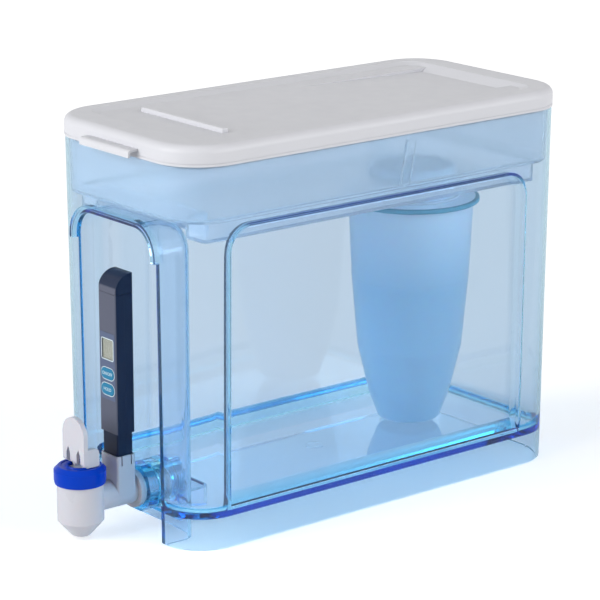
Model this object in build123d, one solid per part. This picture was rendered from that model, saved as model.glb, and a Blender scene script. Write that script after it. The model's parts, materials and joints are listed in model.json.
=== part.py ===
from build123d import *

import os
from math import atan, cos, degrees, pi, sin, sqrt

os.makedirs("parts", exist_ok=True)

# Countertop gravity water filter: clear tank with a front alcove, an upper reservoir that
# carries a screw-on filter, a lift-off lid, a cam-lever tap and a pull-out water meter.
# Millimetres. +Z is up, the tap side faces -Y, and the origin is the centre of the tank's
# base.

# ---------------------------------------------------------------- driving dimensions: tank
TANK_WIDTH = 169.0            # X, at the base
TANK_LENGTH = 362.8           # Y, at the base
TANK_HEIGHT = 284.0
TANK_CORNER = 34.0            # plan radius at the base
TANK_DRAFT = 0.010            # each wall leans out this much per mm of height
TANK_WALL = 2.5
BASE_EDGE = 2.0
FLOOR_UNDERSIDE = 24.0        # the skirt below the floor is hollow
FLOOR_THICKNESS = 2.5
FLOOR_FILLET = 10.0
GATE_RADIUS = 7.0             # ring left by the mould under the floor's centre
GATE_WALL = 1.5
GATE_HEIGHT = 0.6

PANEL_DEPTH = 8.0             # sunken panel in each long side
PANEL_LOW = 31.5              # lower edge, where its ledge meets the tank's side
PANEL_LEDGE = 8.0             # rise of the sloping ledge at its foot
PANEL_TOP_MARGIN = 46.5       # below the tank's rim
PANEL_FRONT_MARGIN = 35.7     # behind the tank's front
PANEL_REAR_MARGIN = 42.4
PANEL_CORNER = 18.0
PANEL_LIP = 1.5
PANEL_ROOT = 4.0
POCKET_WALL = 2.3             # wall of the panels and of the alcove

ALCOVE_HALF = 47.5
ALCOVE_TOP_MARGIN = 49.5      # below the tank's rim
ALCOVE_CORNER = 20.0
ALCOVE_DEPTH = 29.4           # behind the tank's front at the base
ALCOVE_EDGE = 11.0
BROW_WIDTH = 5.0
BROW_PROUD = 4.6
BROW_LEG = 22.5               # brow's legs, down from the alcove's top
BROW_GROOVE = 1.0

SUMP_HALF = 24.0              # small well in the floor that lets the tap drain the tank
SUMP_LENGTH = 27.7
SUMP_CORNER = 6.0
SUMP_NUT_GAP = 1.0            # sump's floor below the tap's nut

# ---------------------------------------------------------------- upper reservoir
FLANGE_INSET = 1.5            # flange edge to the tank's outer face
FLANGE_THICKNESS = 2.2
TUB_GAP = 1.0                 # tub to the tank's inner wall at the rim
TUB_CORNER = 32.0
TUB_WALL = 2.2
TUB_DRAFT = 0.024
TUB_DEPTH = 42.0              # full-width part of the tub, below the rim
TUB_ROUND = 3.0
WELL_DEPTH = 56.5             # narrower part of the tub, below the rim
WELL_SIDE_GAP = 1.0           # well to the inside of the tank's sunken panels
WELL_FRONT_MARGIN = 19.9
WELL_REAR_MARGIN = 24.4
WELL_CORNER = 4.0
WELL_ALCOVE_GAP = 3.7
PINCH_RADIUS = 7.0            # slanted stiffening groove in each long wall of the tub
PINCH_DEPTH = 1.6
PINCH_TOP_Y = 24.0
PINCH_LOW_Y = 15.0

# ---------------------------------------------------------------- filter
FILTER_REAR_MARGIN = 84.4     # filter's axis to the tank's rear
FILTER_STANDOFF = 4.0         # filter's foot above the tank's floor
FILTER_WALL = 1.6
FILTER_FOOT_R = 24.0
FILTER_FOOT_EDGE = 4.0
FILTER_LOW_R = 32.0
FILTER_LOW_RISE = 21.5        # heights above the filter's foot
FILTER_BEND_R = 41.0
FILTER_BEND_RISE = 59.5
FILTER_SEAM_R = 46.0
FILTER_SEAM_DROP = 64.0       # seam below the rim
FILTER_RIM_R = 48.8
RIM_BAND_RADIUS = 53.5
RIM_BAND_WIDTH = 3.0
RIM_BAND_HEIGHT = 3.5
NECK_RADIUS = 33.6
NECK_HEIGHT = 25.0
NECK_WALL = 2.0
NECK_GAP = 0.4                # neck to the reservoir's collar
COLLAR_WALL = 4.0
COLLAR_LENGTH = 14.5          # below the well's underside
SEAL_THICKNESS = 1.8
THREAD_RIDGE = 0.9
THREAD_PITCH = 4.0
LATTICE_HEIGHT = 2.0
LATTICE_BAR = 1.6
LATTICE_RINGS = (9.0, 20.0)
LATTICE_SPOKES = 6
SPIGOT_ABOVE = 4.0            # sleeve's spigot above and below the seam
SPIGOT_BELOW = 5.0
OUTLET_RADIUS = 1.3
OUTLET_RINGS = ((6.5, 6), (12.5, 12), (18.0, 18))
SCREEN_THICKNESS = 1.3
FOAM_THICKNESS = 12.0
OUTLET_PAD = 6.0
MEDIA_GAP = 0.3

# ---------------------------------------------------------------- lid
LID_OVERHANG = 0.65           # lid edge beyond the tank's rim
LID_GAP = 0.3                 # skirt to the tank's rim
LID_HEIGHT = 15.2
LID_WALL = 1.8
LID_ROUND = 6.0
LID_SEAM = 1.9                # bead along the skirt's bottom edge
LID_SEAM_CUT = 0.5
LID_RIB = 1.8
LID_RIB_DEPTH = 4.0           # locating rib below the reservoir's flange
LID_RIB_GAP = 0.6
BORDER_SIDE = 14.5            # lid's edge to the sunken tray in its top
BORDER_END = 24.4
TRAY_DEPTH = 2.2
TRAY_CORNER = 12.0
TRAY_SIDE_RUN = 7.5           # width of the tray's sloping sides and ends
TRAY_END_RUN = 4.5
RAMP_HALF = 48.5              # part of the tray's floor that falls towards the rear
RAMP_DEPTH = 2.7
RAMP_MARGIN = 162.0           # lid's rear edge to the ramp's start
RIDGE_HALF = 49.0             # grip across the tray
RIDGE_MARGIN = 60.0
RIDGE_WIDTH = 5.0
RIDGE_HEIGHT = 3.5
LIP_HALF = 30.0
LIP_REACH = 8.7
LIP_HEIGHT = 5.6
LIP_RISE = 1.1
LIP_WALL = 1.6
LIP_ROUND = 2.6

# ---------------------------------------------------------------- tap
TAP_Z = 28.6                  # pipe's axis
TAP_REACH = 67.5              # spout's axis in front of the alcove's back wall
BARREL_RADIUS = 17.1
BARREL_DROP = 13.6
BARREL_RISE = 15.0
NOZZLE_LENGTH = 11.5
NOZZLE_RADIUS = 7.6
NOZZLE_BORE = 6.0
CHAMBER_RADIUS = 13.0
CHAMBER_DROP = 7.6            # chamber's floor below the pipe's axis
SEAT_HEIGHT = 1.5
SEAT_RADIUS = 8.5
SEAT_BORE = 6.5
CAP_NECK_RADIUS = 15.7
CAP_NECK_HEIGHT = 5.4
PIPE_RADIUS = 10.6
PIPE_BORE = 6.5
FLANGE_RADIUS = 14.5
FLANGE_WIDTH = 3.0
FLANGE_REACH = 20.0           # flange's back face in front of the alcove's back wall
SHANK_RADIUS = 9.0
SHANK_THREAD = 0.7
SHANK_PITCH = 2.0
SHANK_LENGTH = 24.0           # inside the tank
SHANK_GAP = 0.3

BONNET_RADIUS = 19.2
BONNET_HEIGHT = 13.4
BONNET_CHAMFER = 3.2
BONNET_BORE = 8.35
BONNET_GROOVE = (10.4, 14.2)  # shallow ring in the bonnet's top
GUIDE_GAP = 0.1
GUIDE_HEIGHT = 3.3
STEM_RADIUS = 3.0
DIAPHRAGM_THICKNESS = 1.6
DIAPHRAGM_DEPTH = 11.0
SEAT_CUP_RADIUS = 9.2
SEAT_CUP_HEIGHT = 3.6

PIVOT_RISE = 7.5              # lever's pin above the bonnet
PIVOT_SETBACK = 3.0
PIN_RADIUS = 1.7
PIN_GAP = 0.08
ARM_HALF = 4.6
ARM_THICKNESS = 3.0
ARM_HEAD = 4.0
PADDLE_REACH = 5.5
PADDLE_THICKNESS = 3.75
PADDLE_HALF = 13.5
PADDLE_GAP = 1.5
PADDLE_HEIGHT = 35.0
PADDLE_TOE = 2.5
PADDLE_CORNER = 1.5
TONGUE_HALF = 4.0
TONGUE_RELIEF = 1.1
SLOT_OUTER = 8.7
SLOT_SHOULDER = 7.5
SLOT_APEX = 12.0
CHEEK_INNER = 8.8
CHEEK_OUTER = 12.8
CHEEK_SETBACK = 8.5
CHEEK_GAP = 0.5
CHEEK_HEIGHT = 13.5
CHEEK_ROUND = 4.0
CHEEK_HEEL = 1.6

SPACER_RADIUS = 18.6
SPACER_SIDES = 10
SPACER_GROOVE = 2.4
NUT_FLANGE_RADIUS = 19.3
NUT_FLANGE_WIDTH = 3.0
NUT_RADIUS = 15.8
NUT_WIDTH = 16.0
NUT_LUGS = 6
NUT_LUG_HALF = 2.2
WASHER_RADIUS = 14.5
WASHER_THICKNESS = 2.2
SEAM_GAP = 0.1                # between flat faces that bear on each other
REST_GAP = 0.3                # between a removable piece and its seat

# ---------------------------------------------------------------- water meter and its holder
METER_REACH = 33.35           # meter's middle in front of the alcove's back wall
METER_HALF_X = 10.6
METER_HALF_Y = 7.85
METER_FOOT_HALF_X = 9.2
METER_FOOT_HALF_Y = 6.8
METER_HEIGHT = 150.7
METER_STEP = 17.0             # wide part of the meter above its holder
METER_WALL = 1.3
METER_EDGE = 1.2
METER_CAP_HEIGHT = 15.0
METER_CAP_ARC = 14.0
METER_CAP_WALL = 2.0
METER_SPIGOT = 2.3
HOLDER_WALL = 1.1
HOLDER_GAP = 0.35
HOLDER_RISE = 30.4            # above the pipe's axis
HOLDER_WELL = 14.0
HOLDER_SLOT_WIDTH = 1.0
HOLDER_SLOT_DEPTH = 7.5
HOLDER_SLOT_SPREAD = 4.2
PROBE_RADIUS = 5.0
PROBE_LENGTH = 7.0
PROBE_WELL_GAP = 0.8
PROBE_PIN_RADIUS = 0.8
PROBE_PIN_SPREAD = 2.2
PROBE_PIN_LENGTH = 6.5
O_RING_RADIUS = 0.75
LABEL_TOP = 44.5              # distances below the meter's top
LABEL_FOOT = 95.0
LABEL_HALF = 9.0
LABEL_THICKNESS = 0.45
LABEL_BED = 0.35
LCD_TOP = 49.0
LCD_FOOT = 65.0
LCD_HALF = 7.35
ON_OFF_DROP = 75.5
HOLD_DROP = 87.3
BUTTON_HALF_X = 7.85
BUTTON_HALF_Z = 4.25
BUTTON_PROUD = 0.7
BUTTON_TRAVEL = 0.6
BUTTON_GAP = 0.25
CASE_FIT = 0.1                # round the label, lens and probe in the case
CASE_MIN_CORNER = 0.3
LABEL_CORNER = 1.0
LABEL_LAP = 0.4               # label's edge over the display lens
LENS_CORNER = 0.8
CAP_OVERLAP = 0.5             # cap's spigot into the cap
KEY_FILLET = 0.5
KEY_FLANGE_EDGE = 0.6
KEY_FLANGE_GAP = 0.15
KEY_FLANGE_BACK = 0.9         # flange's back behind the case's inner face
KEY_OVERLAP = 0.3
KEY_STUB_RADIUS = 1.5
KEY_STUB_GAP = 0.15
SWITCH_RADIUS = 2.6
SWITCH_FRONT = 2.0            # in front of the meter's middle
SWITCH_GAP = 0.02
BOARD_THICKNESS = 1.2
BOARD_SETBACK = 0.4           # behind the meter's middle
BOARD_FOOT = 16.0             # above the meter's foot
BOARD_HEAD = 3.0              # below the cells
BOARD_SIDE_GAP = 0.5
DISPLAY_THICKNESS = 3.0
DISPLAY_MARGIN = 2.0          # display beyond its window, up and down
DISPLAY_SIDE_GAP = 0.6
CELL_RADIUS = 5.8
CELL_HEIGHT = 5.4
CELL_GAP = 0.2
CELL_FILLET = 0.5
CELLS_DROP = 0.8              # below the cap's spigot
TRAY_GAP = 0.3
TRAY_FOOT = 2.6               # battery tray's floor below the cells
TRAY_SEAT = 0.6               # tray's pocket below the cells
PLATE_HALF = 3.0
PLATE_THICKNESS = 0.4
PLATE_GAP = 0.1
PROBE_HEAD_RISE = 6.0         # probe's round part above the meter's foot
PROBE_FLANGE = 2.0
PROBE_FLANGE_GAP = 0.2
PROBE_NECK_EDGE = 1.0
PROBE_NECK_HALF = 0.5
PROBE_PIN_FIT = 0.02
O_RING_LOW = 3.2              # its groove above the probe's foot
O_RING_SLOT = 2.0
O_RING_DEPTH = 1.2

# ---------------------------------------------------------------- worked out from the above
REACH = 400.0                 # long enough to pass right through the object
FLOOR_TOP = FLOOR_UNDERSIDE + FLOOR_THICKNESS
RIM_HALF_X = TANK_WIDTH / 2 + TANK_DRAFT * TANK_HEIGHT
RIM_HALF_Y = TANK_LENGTH / 2 + TANK_DRAFT * TANK_HEIGHT
RIM_CORNER = TANK_CORNER + TANK_DRAFT * TANK_HEIGHT
PANEL_HIGH = TANK_HEIGHT - PANEL_TOP_MARGIN
PANEL_FRONT = PANEL_FRONT_MARGIN - TANK_LENGTH / 2
PANEL_REAR = TANK_LENGTH / 2 - PANEL_REAR_MARGIN
ALCOVE_TOP = TANK_HEIGHT - ALCOVE_TOP_MARGIN
ALCOVE_BACK = ALCOVE_DEPTH - TANK_LENGTH / 2
ALCOVE_INNER = ALCOVE_BACK + POCKET_WALL
SUMP_FLOOR = TAP_Z - NUT_FLANGE_RADIUS - SUMP_NUT_GAP

FLANGE_TOP = TANK_HEIGHT + FLANGE_THICKNESS
TUB_STEP = TANK_HEIGHT - TUB_DEPTH
WELL_FLOOR = TANK_HEIGHT - WELL_DEPTH
WELL_HALF = TANK_WIDTH / 2 + TANK_DRAFT * WELL_FLOOR - PANEL_DEPTH - POCKET_WALL - WELL_SIDE_GAP
WELL_FRONT = WELL_FRONT_MARGIN - TANK_LENGTH / 2
WELL_REAR = TANK_LENGTH / 2 - WELL_REAR_MARGIN

FILTER_Y = TANK_LENGTH / 2 - FILTER_REAR_MARGIN
COLLAR_INNER = NECK_RADIUS + NECK_GAP
COLLAR_FOOT = WELL_FLOOR - COLLAR_LENGTH
RIM_TOP = COLLAR_FOOT - SEAL_THICKNESS - 2 * SEAM_GAP
RIM_LOW = RIM_TOP - RIM_BAND_HEIGHT
NECK_TOP = RIM_TOP + NECK_HEIGHT
FILTER_FOOT_Z = FLOOR_TOP + FILTER_STANDOFF
FILTER_SEAM_Z = RIM_TOP - FILTER_SEAM_DROP
CUP_OUTLINE = (
    (FILTER_FOOT_R, FILTER_FOOT_Z),
    (FILTER_LOW_R, FILTER_FOOT_Z + FILTER_LOW_RISE),
    (FILTER_BEND_R, FILTER_FOOT_Z + FILTER_BEND_RISE),
    (FILTER_SEAM_R, FILTER_SEAM_Z),
    (FILTER_RIM_R, RIM_LOW),
)

LID_BOTTOM = TANK_HEIGHT + LID_GAP
LID_TOP = LID_BOTTOM + LID_HEIGHT
LID_HALF_X = RIM_HALF_X + LID_OVERHANG
LID_HALF_Y = RIM_HALF_Y + LID_OVERHANG
TRAY_FLOOR = LID_TOP - TRAY_DEPTH
TRAY_HALF_X = LID_HALF_X - BORDER_SIDE - TRAY_SIDE_RUN
TRAY_HALF_Y = LID_HALF_Y - BORDER_END - TRAY_END_RUN
RAMP_FRONT = LID_HALF_Y - RAMP_MARGIN
RAMP_REAR = TRAY_HALF_Y - TRAY_END_RUN * RAMP_DEPTH / TRAY_DEPTH

TAP_Y = ALCOVE_BACK - TAP_REACH
FLANGE_BACK = ALCOVE_BACK - FLANGE_REACH
FLANGE_FRONT = FLANGE_BACK - FLANGE_WIDTH
SHANK_END = ALCOVE_BACK + SHANK_LENGTH
SHANK_CORE = SHANK_RADIUS - SHANK_THREAD
BARREL_SHOULDER = TAP_Z - BARREL_DROP
BARREL_TOP = TAP_Z + BARREL_RISE
NOZZLE_TIP = BARREL_SHOULDER - NOZZLE_LENGTH
CHAMBER_FLOOR = TAP_Z - CHAMBER_DROP
SEAT_TOP = CHAMBER_FLOOR + SEAT_HEIGHT
CAP_NECK_TOP = BARREL_TOP + CAP_NECK_HEIGHT
BONNET_TOP = BARREL_TOP + BONNET_HEIGHT
BONNET_UNDERSIDE = CAP_NECK_TOP + DIAPHRAGM_THICKNESS + 4 * SEAM_GAP
GUIDE_LOW = BONNET_UNDERSIDE + 2 * SEAM_GAP
GUIDE_HIGH = GUIDE_LOW + GUIDE_HEIGHT
PIVOT_Y = TAP_Y + PIVOT_SETBACK
PIVOT_Z = BONNET_TOP + PIVOT_RISE
PADDLE_FRONT = TAP_Y - PADDLE_REACH
PADDLE_BACK = PADDLE_FRONT + PADDLE_THICKNESS
PADDLE_FOOT = BONNET_TOP + PADDLE_GAP
SPACER_FRONT = FLANGE_BACK + WASHER_THICKNESS
NUT_FRONT = ALCOVE_INNER + WASHER_THICKNESS + 2 * SEAM_GAP

METER_Y = ALCOVE_BACK - METER_REACH
METER_FRONT = METER_Y - METER_HALF_Y
METER_BACK = METER_Y + METER_HALF_Y
HOLDER_TOP = TAP_Z + HOLDER_RISE
HOLDER_FLOOR = HOLDER_TOP - HOLDER_WELL
METER_FOOT_Z = HOLDER_FLOOR + REST_GAP
METER_STEP_Z = HOLDER_TOP + METER_STEP
METER_TOP_Z = METER_FOOT_Z + METER_HEIGHT
METER_SPLIT_Z = METER_TOP_Z - METER_CAP_HEIGHT
LABEL_LOW = METER_TOP_Z - LABEL_FOOT
LABEL_HIGH = METER_TOP_Z - LABEL_TOP
LCD_LOW = METER_TOP_Z - LCD_FOOT
LCD_HIGH = METER_TOP_Z - LCD_TOP
ON_OFF_Z = METER_TOP_Z - ON_OFF_DROP
HOLD_Z = METER_TOP_Z - HOLD_DROP
PROBE_FOOT = METER_FOOT_Z - PROBE_LENGTH
PROBE_HEAD = METER_FOOT_Z + PROBE_HEAD_RISE
CELLS_TOP = METER_SPLIT_Z - METER_SPIGOT - CELLS_DROP
CELLS_LOW = CELLS_TOP - 2 * CELL_HEIGHT - SEAM_GAP
BOARD_FRONT = METER_Y + BOARD_SETBACK
BOARD_LOW = METER_FOOT_Z + BOARD_FOOT
KEY_HEIGHTS = (ON_OFF_Z, HOLD_Z)


def save(solid, node):
    """Write one sub-part under its node name."""
    export_step(solid, f"parts/{node}.step")


def plan_block(half_x, half_y, corner, low, high, lean=0.0, centre_y=0.0):
    """Upright block with a rounded plan; its walls lean out by lean per mm of height."""
    plan = Pos(0, centre_y, low) * RectangleRounded(2 * half_x, 2 * half_y, corner)
    return extrude(plan, amount=high - low, taper=-degrees(atan(lean)))


def box_between(x0, x1, y0, y1, z0, z1):
    """Box given by its two corners."""
    centre = Pos((x0 + x1) / 2, (y0 + y1) / 2, (z0 + z1) / 2)
    return centre * Box(abs(x1 - x0), abs(y1 - y0), abs(z1 - z0))


def upright(radius, low, high, x=0.0, y=0.0):
    """Cylinder standing on a height."""
    return Pos(x, y, (low + high) / 2) * Cylinder(radius, high - low)


def along_y(radius, y0, y1, x=0.0, z=TAP_Z):
    """Cylinder lying along Y."""
    return Pos(x, (y0 + y1) / 2, z) * Rot(90, 0, 0) * Cylinder(radius, abs(y1 - y0))


def along_x(radius, x0, x1, y, z):
    """Cylinder lying along X."""
    return Pos((x0 + x1) / 2, y, z) * Rot(0, 90, 0) * Cylinder(radius, abs(x1 - x0))


def turned(points, x=0.0, y=0.0):
    """Solid of revolution about a vertical axis from (radius, height) points."""
    profile = Plane.XZ * make_face(Polyline(*points, close=True))
    return Pos(x, y, 0) * revolve(profile, Axis.Z)


def side_profile(points, x0, x1):
    """Slab with an outline in the YZ plane, from x0 to x1."""
    face = Plane.YZ.offset(x0) * make_face(Polyline(*points, close=True))
    return extrude(face, amount=x1 - x0)


def both_sides(solid):
    """A shape and its mirror image across the YZ plane."""
    return solid + mirror(solid, Plane.YZ)


# ---------------------------------------------------------------- tank
def tank_front(z):
    """Y of the tank's front face at a height."""
    return -(TANK_LENGTH / 2 + TANK_DRAFT * z)


def tank_half(z):
    """Half of the tank's width at a height."""
    return TANK_WIDTH / 2 + TANK_DRAFT * z


def panel_pocket(foot, ledge, grow):
    """The space of the sunken side panel at +X, grown by a wall for the inside.

    It ends at the height foot, where a ledge slopes out from the panel.
    """
    low, high = foot - 2 * (PANEL_CORNER + grow), PANEL_HIGH + grow
    length = PANEL_REAR - PANEL_FRONT + 2 * grow
    middle_y, middle_z = (PANEL_REAR + PANEL_FRONT) / 2, (low + high) / 2
    start = TANK_WIDTH / 2 - PANEL_DEPTH - 4 * POCKET_WALL
    outline = Pos(middle_y, middle_z) * RectangleRounded(length, high - low, PANEL_CORNER + grow)
    prism = extrude(Plane.YZ.offset(start) * outline, amount=TANK_WIDTH)
    inner = [(tank_half(z) - PANEL_DEPTH - grow, z) for z in (low - 1, high + 1)]
    wedge_face = Plane.XZ * make_face(
        Polyline(inner[0], inner[1], (TANK_WIDTH, high + 1), (TANK_WIDTH, low - 1), close=True)
    )
    pocket = prism & extrude(wedge_face, amount=REACH / 2, both=True)
    panel = pocket.faces().sort_by(Axis.X)[0]
    pocket = fillet(panel.edges(), PANEL_ROOT)
    edge_x = tank_half(foot)
    run, rise = 2 * PANEL_DEPTH, 2 * ledge
    above_ledge = Plane.XZ * make_face(
        Polyline(
            (0, high + 1), (0, foot + rise), (edge_x - run, foot + rise), (edge_x, foot),
            (TANK_WIDTH, foot), (TANK_WIDTH, high + 1), close=True
        )
    )
    return pocket & extrude(above_ledge, amount=REACH / 2, both=True)


def alcove_outline(grow):
    """Front outline of the alcove, open at the bottom."""
    half, top = ALCOVE_HALF + grow, ALCOVE_TOP + grow
    low = -BASE_EDGE - 4
    arch = Pos(0, (top + low) / 2) * RectangleRounded(2 * half, top - low, ALCOVE_CORNER + grow)
    foot = Pos(0, (low + ALCOVE_TOP / 2) / 2) * Rectangle(2 * half, ALCOVE_TOP / 2 - low)
    return arch + foot


def alcove_space(grow):
    """The space of the front alcove, with rounded edges along its back wall."""
    back = ALCOVE_BACK + grow
    depth = back - tank_front(TANK_HEIGHT) + 12
    space = extrude(Plane.XZ.offset(-back) * alcove_outline(grow), amount=depth)
    back_face = space.faces().sort_by(Axis.Y)[-1]
    edges = [e for e in back_face.edges() if e.center().Z > 0]
    return fillet(edges, ALCOVE_EDGE + grow)


def brow():
    """Raised rim round the top of the alcove, with a groove along it."""
    front = tank_front(ALCOVE_TOP) - BROW_PROUD
    ring = alcove_outline(BROW_WIDTH) - alcove_outline(0)
    rim = extrude(Plane.XZ.offset(-front) * ring, amount=-(BROW_PROUD + TANK_WALL / 2))
    middle = BROW_WIDTH / 2
    line = alcove_outline(middle + BROW_GROOVE / 2) - alcove_outline(middle - BROW_GROOVE / 2)
    groove = extrude(Plane.XZ.offset(-front) * line, amount=-BROW_GROOVE)
    half = ALCOVE_HALF + BROW_WIDTH + 1
    low, high = ALCOVE_TOP - BROW_LEG, ALCOVE_TOP + 2 * BROW_WIDTH
    keep = box_between(-half, half, front - 1, ALCOVE_BACK, low, high)
    return (rim - groove) & keep


def sump(grow):
    """Well in the floor behind the alcove, grown by a wall for its outside."""
    front = ALCOVE_INNER
    rear = front + SUMP_LENGTH + grow
    half = SUMP_HALF + grow
    top = FLOOR_TOP + 1 if grow == 0 else FLOOR_UNDERSIDE + 1
    low = SUMP_FLOOR - grow
    well = box_between(-half, half, front - (0 if grow == 0 else 1), rear, low, top)
    corners = well.edges().filter_by(Axis.Z).group_by(Axis.Y)[-1]
    return fillet(corners, SUMP_CORNER + grow)


def make_tank():
    half_x, half_y = TANK_WIDTH / 2, TANK_LENGTH / 2
    outer = plan_block(half_x, half_y, TANK_CORNER, 0, TANK_HEIGHT, TANK_DRAFT)
    outer = fillet(outer.edges().group_by(Axis.Z)[0], BASE_EDGE)
    pocket = panel_pocket(PANEL_LOW, PANEL_LEDGE, 0)
    outer = outer - pocket - mirror(pocket, Plane.YZ)
    for low, high in ((PANEL_LOW + 1, PANEL_HIGH + 1), (PANEL_LOW - 1, PANEL_LOW + 1)):
        lip = [
            e
            for e in outer.edges()
            if low < e.center().Z < high
            and abs(e.center().X) > tank_half(e.center().Z) - 0.5
            and PANEL_FRONT - 1 < e.center().Y < PANEL_REAR + 1
            and e.length > 2 * PANEL_LIP
        ]
        outer = fillet(lip, PANEL_LIP)
    outer = (outer + brow()) - alcove_space(0)

    inner_x, inner_y = half_x - TANK_WALL, half_y - TANK_WALL
    inner_corner = TANK_CORNER - TANK_WALL
    lean = TANK_DRAFT * FLOOR_TOP
    cavity = plan_block(
        inner_x + lean, inner_y + lean, inner_corner + lean, FLOOR_TOP, TANK_HEIGHT + 1, TANK_DRAFT
    )
    cavity = fillet(cavity.edges().group_by(Axis.Z)[0], FLOOR_FILLET)
    inner_pocket = panel_pocket(FLOOR_UNDERSIDE, 0, POCKET_WALL)
    walls = alcove_space(POCKET_WALL)
    cavity = cavity - inner_pocket - mirror(inner_pocket, Plane.YZ) - walls
    skirt = plan_block(inner_x, inner_y, inner_corner, -1, FLOOR_UNDERSIDE, TANK_DRAFT)
    skirt = skirt - walls - sump(TANK_WALL)
    tank = outer - cavity - skirt - sump(0)
    tank = tank - along_y(SHANK_RADIUS + SHANK_GAP, ALCOVE_BACK - 1, ALCOVE_INNER + 1)
    gate = upright(GATE_RADIUS, FLOOR_UNDERSIDE - GATE_HEIGHT, FLOOR_UNDERSIDE)
    gate = gate - upright(GATE_RADIUS - GATE_WALL, FLOOR_UNDERSIDE - GATE_HEIGHT, FLOOR_UNDERSIDE)
    return tank + gate


# ---------------------------------------------------------------- upper reservoir
def tub_half():
    """Half sizes of the tub's outside at the tank's rim."""
    return RIM_HALF_X - TANK_WALL - TUB_GAP, RIM_HALF_Y - TANK_WALL - TUB_GAP


def tub_shape(inset):
    """Full-width upper part of the tub, inset by its wall for the inside."""
    half_x, half_y = tub_half()
    low = TUB_STEP + inset
    lean = TUB_DRAFT * (TANK_HEIGHT - low)
    top = FLANGE_TOP + (1 if inset else 0)
    shape = plan_block(
        half_x - inset - lean, half_y - inset - lean, TUB_CORNER - inset - lean, low, top, TUB_DRAFT
    )
    return fillet(shape.edges().group_by(Axis.Z)[0], TUB_ROUND - inset / 2)


def well_shape(inset):
    """Lower, narrower part of the tub, with a notch that clears the alcove."""
    half = WELL_HALF - inset
    low = WELL_FLOOR + inset
    top = TUB_STEP + TUB_WALL + 1
    middle = (WELL_FRONT + WELL_REAR) / 2
    half_y = (WELL_REAR - WELL_FRONT) / 2 - inset
    block = plan_block(half, half_y, WELL_CORNER - inset / 2, low, top, 0.0, middle)
    notch_half = ALCOVE_HALF + POCKET_WALL + WELL_ALCOVE_GAP + inset
    notch_back = ALCOVE_BACK + POCKET_WALL + WELL_ALCOVE_GAP + inset
    notch = box_between(-notch_half, notch_half, -REACH, notch_back, low - 1, top + 1)
    return block - notch


def pinch(grow):
    """Slanted groove down the tub's +X wall."""
    half_x = tub_half()[0]
    drop = TANK_HEIGHT - WELL_FLOOR
    lean = TUB_DRAFT * drop
    offset = PINCH_RADIUS - PINCH_DEPTH
    top = Vector(half_x + offset, PINCH_TOP_Y, TANK_HEIGHT)
    low = Vector(half_x + offset - lean, PINCH_LOW_Y, WELL_FLOOR)
    along = top - low
    plane = Plane(origin=low - along * 0.2, z_dir=along)
    return extrude(plane * Circle(PINCH_RADIUS + grow), amount=along.length * 1.1)


def make_reservoir():
    edge_x, edge_y = RIM_HALF_X - FLANGE_INSET, RIM_HALF_Y - FLANGE_INSET
    flange = plan_block(edge_x, edge_y, RIM_CORNER - FLANGE_INSET, TANK_HEIGHT, FLANGE_TOP)
    outside = tub_shape(0) + well_shape(0)
    outside = outside - both_sides(pinch(0))
    inside = tub_shape(TUB_WALL) + well_shape(TUB_WALL)
    inside = inside - both_sides(pinch(TUB_WALL) & tub_shape(0))
    mouth_z = TANK_HEIGHT - 0.5
    half_x, half_y = tub_half()
    mouth = plan_block(
        half_x - TUB_WALL, half_y - TUB_WALL, TUB_CORNER - TUB_WALL, mouth_z, FLANGE_TOP + 1
    )
    body = (outside + flange) - inside - mouth
    collar = upright(COLLAR_INNER + COLLAR_WALL, COLLAR_FOOT, WELL_FLOOR + TUB_WALL, 0, FILTER_Y)
    bore = upright(COLLAR_INNER, COLLAR_FOOT - 1, WELL_FLOOR + TUB_WALL + 1, 0, FILTER_Y)
    return (body + collar) - bore


# ---------------------------------------------------------------- filter
def cup_radius(z, inset=0.0):
    """Radius of the filter's outside at a height, less an inset."""
    for (r0, z0), (r1, z1) in zip(CUP_OUTLINE, CUP_OUTLINE[1:]):
        if z <= z1:
            return r0 + (r1 - r0) * (z - z0) / (z1 - z0) - inset
    return FILTER_RIM_R - inset


def cup_layer(low, high, inset):
    """Solid that fills the filter's shell between two heights."""
    bends = [z for _, z in CUP_OUTLINE if low < z < high]
    outer = [(cup_radius(z, inset), z) for z in [low, *bends, high]]
    return turned([(0, low), *outer, (0, high)], 0, FILTER_Y)


def make_lower_cup():
    shell = cup_layer(FILTER_FOOT_Z, FILTER_SEAM_Z, 0)
    shell = fillet(shell.edges().group_by(Axis.Z)[0], FILTER_FOOT_EDGE)
    inside = cup_layer(FILTER_FOOT_Z + FILTER_WALL, FILTER_SEAM_Z, FILTER_WALL)
    inside = fillet(inside.edges().group_by(Axis.Z)[0], FILTER_FOOT_EDGE - FILTER_WALL / 2)
    low, high = FILTER_FOOT_Z - 1, FILTER_FOOT_Z + FILTER_WALL + 1
    outlets = [upright(OUTLET_RADIUS, low, high, 0, FILTER_Y)]
    for ring, count in OUTLET_RINGS:
        for i in range(count):
            turn = 2 * pi * i / count
            x, y = ring * cos(turn), FILTER_Y + ring * sin(turn)
            outlets.append(upright(OUTLET_RADIUS, low, high, x, y))
    return shell - inside - outlets


def make_upper_sleeve():
    low, high = FILTER_SEAM_Z + SEAM_GAP, RIM_LOW - SEAM_GAP
    sleeve = cup_layer(low, high, 0) - cup_layer(low, high, FILTER_WALL)
    spigot_low, spigot_high = FILTER_SEAM_Z - SPIGOT_BELOW, FILTER_SEAM_Z + SPIGOT_ABOVE
    spigot = cup_layer(spigot_low, low, FILTER_WALL + SEAM_GAP)
    spigot = spigot + cup_layer(low, spigot_high, FILTER_WALL / 2)
    spigot = spigot - cup_layer(spigot_low, spigot_high, 2 * FILTER_WALL + SEAM_GAP)
    return sleeve + spigot


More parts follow.
